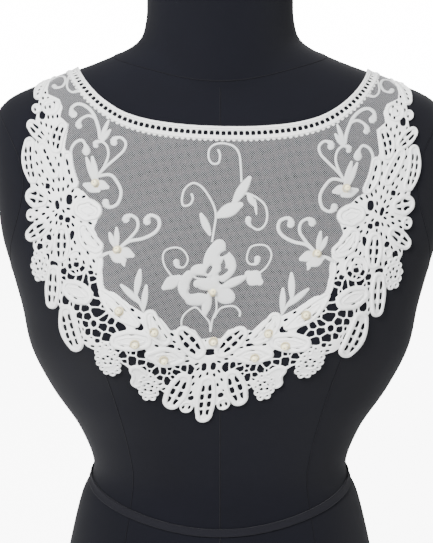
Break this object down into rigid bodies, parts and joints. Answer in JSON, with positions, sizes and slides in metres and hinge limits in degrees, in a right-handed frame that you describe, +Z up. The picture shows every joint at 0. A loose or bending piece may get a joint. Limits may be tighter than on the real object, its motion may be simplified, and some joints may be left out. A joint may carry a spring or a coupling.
{
  "type": "guipure lace yoke on a limbless dress form",
  "caption": "Openwork lace yoke with scalloped border, net insert and ladder neck band, laid on a limbless dress form that stands on its flat base.",
  "frame": {"origin": "middle of the form's flat base, on the surface that it stands on", "axes": "+Z up along the neck, +X to the viewer's right of the front, and the front faces -Y"},
  "size_m": [0.384, 0.2403, 0.64],
  "materials": {
    "form_cloth": "matt knitted cotton, blue black",
    "tape_cotton": "matt woven tape, dark grey",
    "guipure_thread": "satin stitched thread, white",
    "tulle": "fine sheer net, white",
    "embroidery_thread": "soft satin stitch, white",
    "pearl": "pearl, cream white"
  },
  "bodies": {
    "root": {"dress_form": "form_cloth", "waist_tape": "tape_cotton", "guipure_border": "guipure_thread", "neck_band": "guipure_thread", "net_insert": "tulle", "centre_spray": "embroidery_thread", "lower_spray_right": "embroidery_thread", "lower_spray_left": "embroidery_thread", "upper_spray_right": "embroidery_thread", "upper_spray_left": "embroidery_thread", "sprig_right": "embroidery_thread", "sprig_left": "embroidery_thread"}
  },
  "joints": []
}
